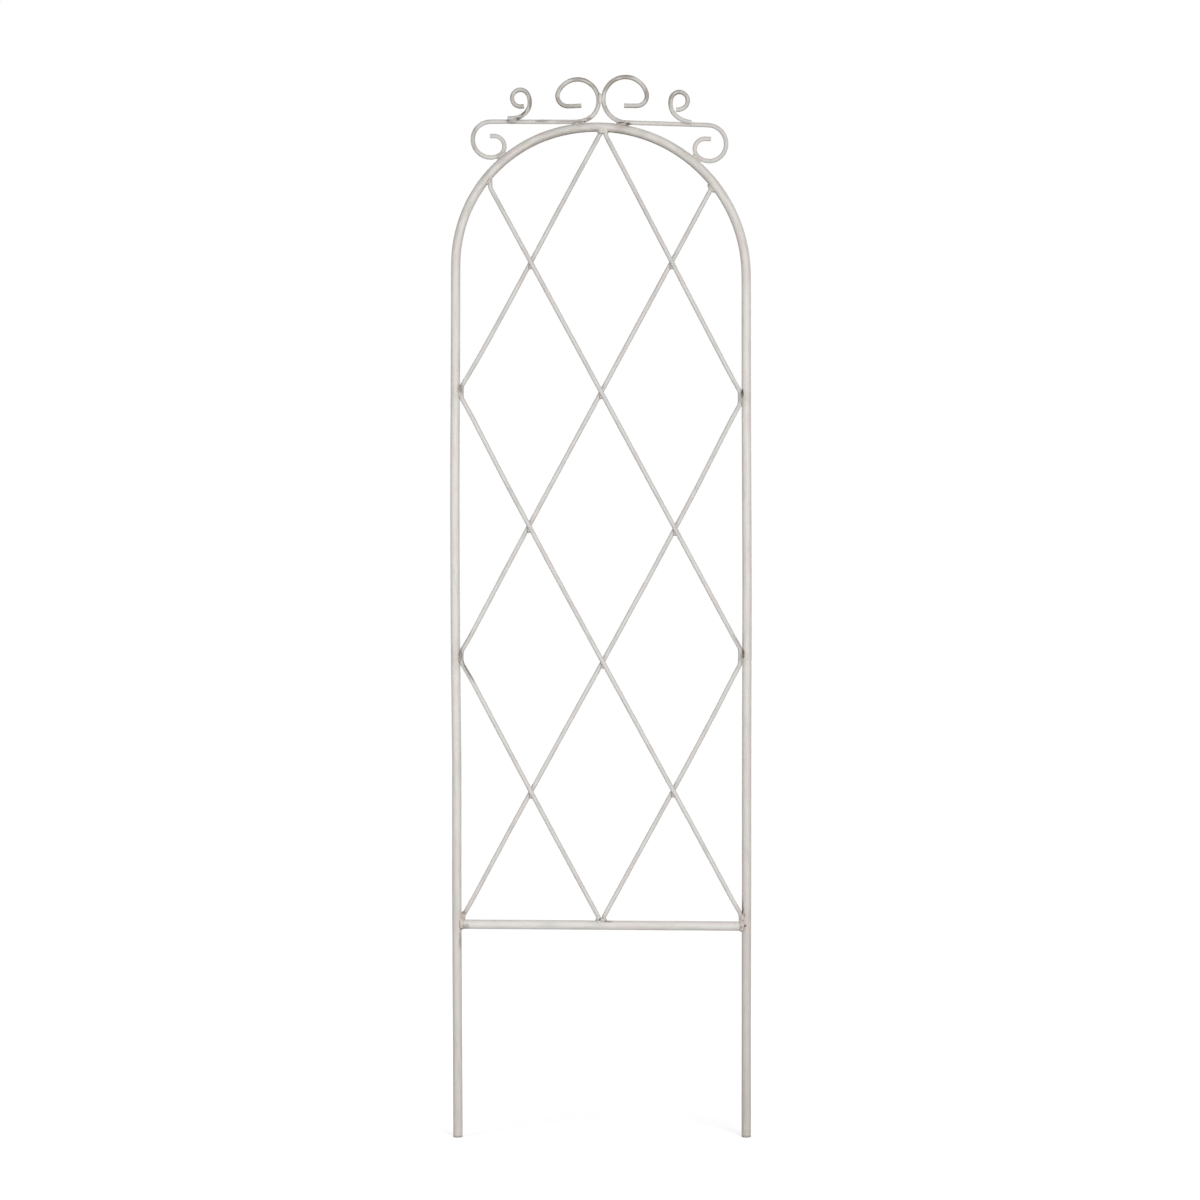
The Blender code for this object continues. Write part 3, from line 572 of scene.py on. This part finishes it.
def makeStainSpot():
    # a spot with a ragged edge, one reach away from its place
    group = newGroup("stainSpot",
                     [("Place", "NodeSocketVector", (0, 0, 0)), ("Reach", "NodeSocketVector", (1, 1, 1)),
                      ("Turn", "NodeSocketFloat", 0.0), ("Strength", "NodeSocketFloat", 1.0)],
                     [("Mask", "NodeSocketFloat")])
    given = group.nodes.new("NodeGroupInput").outputs
    here = group.nodes.new("ShaderNodeTexCoord").outputs["Object"]
    away = addNode(group, "ShaderNodeVectorMath", {0: here, 1: given["Place"]},
                   operation="SUBTRACT").outputs[0]
    turned = addNode(group, "ShaderNodeVectorRotate", {"Vector": away, "Angle": given["Turn"]},
                     rotation_type="Y_AXIS").outputs[0]
    share = addNode(group, "ShaderNodeVectorMath", {0: turned, 1: given["Reach"]},
                    operation="DIVIDE").outputs[0]
    far = addNode(group, "ShaderNodeVectorMath", {0: share}, operation="LENGTH").outputs["Value"]
    ragged = addNode(group, "ShaderNodeTexNoise",
                     {"Vector": here, "Scale": stainEdge["scale"], "Detail": stainEdge["detail"],
                      "Roughness": stainEdge["roughness"]}).outputs["Fac"]
    push = plus(group, times(group, ragged, stainEdge["ragged"]), -stainEdge["ragged"] / 2)
    mask = addNode(group, "ShaderNodeMapRange",
                   {"Value": plus(group, far, push), "From Min": stainEdge["from"],
                    "From Max": stainEdge["full"], "To Max": given["Strength"]},
                   interpolation_type="SMOOTHSTEP").outputs["Result"]
    group.links.new(mask, group.nodes.new("NodeGroupOutput").inputs["Mask"])
    return group


coatWithPaintedLight = makeCoatWithPaintedLight()
stainSpot = makeStainSpot()
reliefDepth = 0.0003        # metres


def paintMaterial(name, coat):
    material = bpy.data.materials.new(name)
    material.use_nodes = True
    tree = material.node_tree
    shader = tree.nodes["Principled BSDF"]
    coated = addNode(tree, "ShaderNodeGroup", node_tree=coatWithPaintedLight)
    for kind, spots in stainsAndPaintedLight.items():
        together = None
        for (x, z), (across, along), turn, strength in spots.values():
            spot = addNode(tree, "ShaderNodeGroup", node_tree=stainSpot)
            spot.inputs["Place"].default_value = (x, 0, z)
            spot.inputs["Reach"].default_value = (across, stainDepth, along)
            spot.inputs["Turn"].default_value = math.radians(turn)
            spot.inputs["Strength"].default_value = strength
            mask = spot.outputs["Mask"]
            together = larger(tree, together, mask) if together else mask
        tree.links.new(together, coated.inputs[kind])
    for key, value in coat["group"].items():
        coated.inputs[key].default_value = value
    relief = addNode(tree, "ShaderNodeBump",
                     {"Height": coated.outputs["Height"], "Strength": coat["relief"],
                      "Distance": reliefDepth})
    tree.links.new(coated.outputs["Colour"], shader.inputs["Base Color"])
    tree.links.new(coated.outputs["Roughness"], shader.inputs["Roughness"])
    tree.links.new(relief.outputs["Normal"], shader.inputs["Normal"])
    shader.inputs["Metallic"].default_value = 0.0
    shader.inputs["Specular IOR Level"].default_value = coat["gloss"]
    return material


tubeCoat = {
    "group": {
        "Paint": (0.82, 0.785, 0.74, 1),
        "Rosy": (0.81, 0.72, 0.705, 1),
        "Mossy": (0.71, 0.71, 0.665, 1),
        "Wash": (0.40, 0.358, 0.31, 1),
        "Brown": (0.20, 0.165, 0.14, 1),
        "Wash Amount": 0.34,
        "Brown Amount": 0.9,
        "Patch Length": 1.0,
        "Crest Wash And Shade": 0.22,      # how much more wash and painted shade there is on the arch
        "Underside Patina And Shade": 3.2,          # and how many times that underneath
        "Crest From": 0.93,        # height at which it begins, and is full, in metres
        "Crest To": 1.14,
        "Left Foot Shade": 0.30,         # and painted shade down at each foot, from nothing at 0.75 m
        "Right Foot Shade": 0.45,
    },
    "relief": 0.35,
    "gloss": 0.35,
}
# the crossbar: a lighter copy of the tube paint, with less of the painted shade towards the feet
crossbarCoat = {
    "group": dict(tubeCoat["group"], **{
        "Paint": (0.83, 0.80, 0.765, 1),
        "Wash Amount": 0.28,
        "Left Foot Shade": 0.04,
        "Right Foot Shade": 0.08,
    }),
    "relief": 0.35,
    "gloss": 0.35,
}
rodCoat = {
    "group": {
        "Paint": (0.765, 0.745, 0.72, 1),
        "Rosy": (0.745, 0.665, 0.65, 1),
        "Mossy": (0.64, 0.645, 0.615, 1),
        "Wash": (0.38, 0.355, 0.325, 1),
        "Brown": (0.19, 0.155, 0.13, 1),
        "Wash Amount": 0.36,
        "Brown Amount": 0.9,
        "Patch Length": 1.6,
        "Crest Wash And Shade": 0.05,
    },
    "relief": 0.45,
    "gloss": 0.32,
}
scrollCoat = {
    "group": dict(rodCoat["group"], **{
        "Paint": (0.76, 0.735, 0.70, 1),
        "Wash": (0.37, 0.33, 0.28, 1),
        "Patch Length": 2.0,
        # the scrolls darken towards their tops: part wash, part painted shade
        "Crest Wash And Shade": 0.66,
        "Crest From": 1.147,
        "Crest To": 1.172,
    }),
    "relief": 0.45,
    "gloss": 0.32,
}
beadCoat = {
    "group": {
        "Paint": (0.76, 0.72, 0.665, 1),
        "Rosy": (0.74, 0.655, 0.63, 1),
        "Mossy": (0.63, 0.61, 0.545, 1),
        "Wash": (0.36, 0.32, 0.28, 1),
        "Brown": (0.20, 0.165, 0.14, 1),
        "Wash Amount": 0.6,
        "Brown Amount": 0.9,
        "Patch Length": 3.0,
        "Crest Wash And Shade": 0.12,
    },
    "relief": 0.6,
    "gloss": 0.3,
}
tubePaint = paintMaterial("tubePaint", tubeCoat)
crossbarPaint = paintMaterial("crossbarPaint", crossbarCoat)
rodPaint = paintMaterial("rodPaint", rodCoat)
scrollPaint = paintMaterial("scrollPaint", scrollCoat)
beadPaint = paintMaterial("beadPaint", beadCoat)
print("paint mixed")


# Bars: tubes, lattice rods, scrolls and curls

tubeShape = {
    "radius": 0.00525,      # metres
    "longest": 0.020,       # longest face left after cutting
    "regain": 0.000133,     # what smoothing takes off a sixteen-sided tube
    "lumps": 0.00012,       # unevenness of the hand-bent, thickly painted tube
    "crease": 0.8,
}
rodShape = {
    "radius": 0.0025,
    "longest": 0.016,
    "regain": 0.000159,     # what smoothing takes off a ten-sided rod
    "lumps": 0.00022,
    "crease": 0.8,
}
curlShape = dict(rodShape, longest=0.010)
tubeLumps = lumpTexture("tubeLumps", 0.016, 1)
rodLumps = lumpTexture("rodLumps", 0.009, 1)


# The welds sink the rods' kinks and feet a little into the bars behind them, and some beads lie flatter
# or longer: place, reach, and how far along which axis, in metres

sinks = {
    "lattice_rod_1": {"kink": ((-0.156, 0.841), 0.0145, "X", -0.0011),
                      "foot": ((0.156, 0.244), 0.011, "X", 0.0020)},
    "lattice_rod_2": {"kink": ((0.156, 0.834), 0.0145, "X", 0.0012),
                      "foot": ((-0.156, 0.245), 0.011, "X", -0.0013)},
    "lattice_rod_3": {"kink": ((0.156, 0.5423), 0.0145, "X", 0.0007)},
    "lattice_rod_4": {"kink": ((-0.156, 0.542), 0.0145, "X", -0.0016)},
    "right_small_curl": {"foot": ((0.1025, 1.1470), 0.008, "Z", -0.0018)},
    "weld_curl_right": {"bottom": ((0.0965, 1.1405), 0.0042, "Z", 0.0020)},
    "weld_crown_right": {"end": ((0.0300, 1.1436), 0.0045, "X", 0.0030)},
    "weld_crossbar_left": {"bottom": ((-0.1570, 0.2328), 0.0026, "Z", 0.0018)},
    "weld_crossbar_right": {"bottom": ((0.1587, 0.2305), 0.0026, "Z", 0.0012)},
    "weld_top_left": {"side": ((-0.1210, 1.0800), 0.0038, "X", -0.0020)},
}


def sinkIn(piece, name, place, reach, axis, shift):
    group = piece.vertex_groups.new(name=name)
    for vertex in piece.data.vertices:
        away = math.hypot(vertex.co.x - place[0], vertex.co.z - place[1]) / reach
        group.add([vertex.index], math.exp(-away * away), "REPLACE")
    push = piece.modifiers.new(name, "DISPLACE")
    push.direction = axis
    push.mid_level = 0.0
    push.strength = shift
    push.vertex_group = name


def makeBar(name, shape, lumps, material, start):
    piece = copyOfNode(name)
    cutLongFaces(piece, shape["longest"])
    line = middleLine(piece, shape["radius"])
    keepRims(piece, shape["crease"])
    for place, sink in sinks.get(name, {}).items():
        sinkIn(piece, place, *sink)
    smooth = piece.modifiers.new("smooth", "SUBSURF")
    smooth.levels = smooth.render_levels = 2
    swell = piece.modifiers.new("swell", "DISPLACE")
    swell.mid_level = 0.0
    swell.strength = shape["regain"]
    uneven = piece.modifiers.new("uneven", "DISPLACE")
    uneven.texture = lumps
    uneven.texture_coords = "LOCAL"
    uneven.strength = shape["lumps"]
    applyAll(piece)
    bpy.ops.object.shade_smooth_by_angle(angle=rimAngle)
    unroll(piece, line, start)
    brownNearWelds(piece)
    piece.data.materials.append(material)
    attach(piece, "root")
    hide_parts(name)
    length = np.linalg.norm(line[1:] - line[:-1], axis=1).sum()
    print(f"{name}: {length:.3f} m long, {len(piece.data.polygons)} faces")


makeBar("frame_hoop", tubeShape, tubeLumps, tubePaint, 0.0)
makeBar("crossbar", tubeShape, tubeLumps, crossbarPaint, 4.0)
for index in range(1, 5):
    makeBar(f"lattice_rod_{index}", rodShape, rodLumps, rodPaint, 10.0 + 2.0 * index)
for index, name in enumerate(("left_scroll", "right_scroll", "left_small_curl", "right_small_curl")):
    makeBar(name, curlShape, rodLumps, scrollPaint, 20.0 + index)
print("bars done")


# Weld beads: swollen until they fuse with the bars they join, then rounded and roughened

beadShape = {
    "swell": 0.00042,       # metres, a little more than the fitting gap of the frame
    "grain": 0.00028,       # edge of a remeshed face
    "soften": 12,
    "ripple": 0.00045,
}
collarShape = {
    "swell": 0.00030,       # the rings round the crossbar's ends lie flatter
    "grain": 0.00028,
    "soften": 16,
    "ripple": 0.00060,
}
beadRipple = lumpTexture("beadRipple", 0.0022, 2)


def makeBead(name, shape):
    piece = copyOfNode(name)
    for place, sink in sinks.get(name, {}).items():
        sinkIn(piece, place, *sink)
    swell = piece.modifiers.new("swell", "DISPLACE")
    swell.mid_level = 0.0
    swell.strength = shape["swell"]
    fuse = piece.modifiers.new("fuse", "REMESH")
    fuse.mode = "VOXEL"
    fuse.voxel_size = shape["grain"]
    fuse.use_smooth_shade = True
    soften = piece.modifiers.new("soften", "SMOOTH")
    soften.factor = 0.5
    soften.iterations = shape["soften"]
    ripple = piece.modifiers.new("ripple", "DISPLACE")
    ripple.texture = beadRipple
    ripple.texture_coords = "LOCAL"
    ripple.strength = shape["ripple"]
    applyAll(piece)
    bpy.ops.object.shade_smooth()
    storeSpots(piece, pointsOf(piece.data))
    brownNearWelds(piece)
    piece.data.materials.append(beadPaint)
    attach(piece, "root")
    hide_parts(name)
    return len(piece.data.polygons)


beadFaces = 0
for name in sorted(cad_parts):
    if name.startswith("weld_"):
        beadFaces += makeBead(name, collarShape if "crossbar" in name else beadShape)
print("beads done,", beadFaces, "faces")


# Floor

floorLook = {
    "size": 30.0,
    "nearPale": 0.76,       # how much light the floor throws back
    "farPale": 0.20,
    "near": 0.35,           # metres from the trellis
    "far": 1.3,
    "nearGlow": 0.635,      # added for the camera, so that the lit floor is white and its shadow stays
    "farGlow": 0.96,
    "glowFrom": 0.12,
    "glowTo": 0.9,
}
bpy.ops.mesh.primitive_plane_add(size=floorLook["size"])
floor = bpy.context.object
floor.name = "floor"
floorPaint = bpy.data.materials.new("floorPaint")
floorPaint.use_nodes = True
tree = floorPaint.node_tree
tree.nodes.remove(tree.nodes["Principled BSDF"])
spot = addNode(tree, "ShaderNodeTexCoord").outputs["Object"]
away = addNode(tree, "ShaderNodeVectorMath", {0: spot}, operation="LENGTH").outputs["Value"]
pale = addNode(tree, "ShaderNodeMapRange",
               {"Value": away, "From Min": floorLook["near"], "From Max": floorLook["far"],
                "To Min": floorLook["nearPale"], "To Max": floorLook["farPale"]}).outputs["Result"]
paleFloor = addNode(tree, "ShaderNodeBsdfDiffuse", {"Color": pale})
glow = addNode(tree, "ShaderNodeMapRange",
               {"Value": away, "From Min": floorLook["glowFrom"], "From Max": floorLook["glowTo"],
                "To Min": floorLook["nearGlow"], "To Max": floorLook["farGlow"]}).outputs["Result"]
shine = addNode(tree, "ShaderNodeEmission",
                {"Color": (1, 1, 1, 1), "Strength": times(tree, glow, seenRays(tree))})
both = addNode(tree, "ShaderNodeAddShader", {0: paleFloor.outputs[0], 1: shine.outputs[0]})
tree.links.new(both.outputs[0], tree.nodes["Material Output"].inputs["Surface"])
floor.data.materials.append(floorPaint)
floor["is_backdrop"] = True


# World: white where it is seen, softer where it lights

worldLight = 0.27
world = bpy.data.worlds.new("studio")
bpy.context.scene.world = world
world.use_nodes = True
tree = world.node_tree
strength = addNode(tree, "ShaderNodeMapRange",
                   {"Value": seenRays(tree), "To Min": worldLight, "To Max": 1.0})
tree.nodes["Background"].inputs["Color"].default_value = (1, 1, 1, 1)
tree.links.new(strength.outputs["Result"], tree.nodes["Background"].inputs["Strength"])


# Lamps

lamps = {
    "key": {"place": (1.05, -2.7, 0.95), "aim": (0, 0, 0.6), "size": 1.2, "watts": 50.5},
    "fill": {"place": (-0.90, -0.80, 0.70), "aim": (0, 0, 0.6), "size": 0.5, "watts": 3.3},
}
for name, lamp in lamps.items():
    bpy.ops.object.light_add(type="AREA", location=lamp["place"])
    light = bpy.context.object
    light.name = name
    light.data.shape = "SQUARE"
    light.data.size = lamp["size"]
    light.data.energy = lamp["watts"]
    light.visible_camera = False
    towards = Vector(lamp["aim"]) - Vector(lamp["place"])
    light.rotation_euler = towards.to_track_quat("-Z", "Y").to_euler()
print("floor and light set")


# Camera

cameraView = {
    "lens": 85.0,            # mm
    "sensor": 36.0,          # mm wide
    "frameWidth": 1.3547,    # metres that the picture is wide at the trellis
    "aimX": -0.0011,
    "aimZ": 0.6061,
}
distance = cameraView["frameWidth"] * cameraView["lens"] / cameraView["sensor"]
bpy.ops.object.camera_add(location=(cameraView["aimX"], -distance, cameraView["aimZ"]),
                          rotation=(math.radians(90), 0, 0))
camera = bpy.context.object
camera.data.sensor_width = cameraView["sensor"]
camera.data.lens = cameraView["lens"]
camera.data.dof.use_dof = False
bpy.context.scene.camera = camera
bpy.context.scene.view_settings.view_transform = "Standard"

low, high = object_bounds()
print("visual box", [round(v, 4) for v in low], [round(v, 4) for v in high])
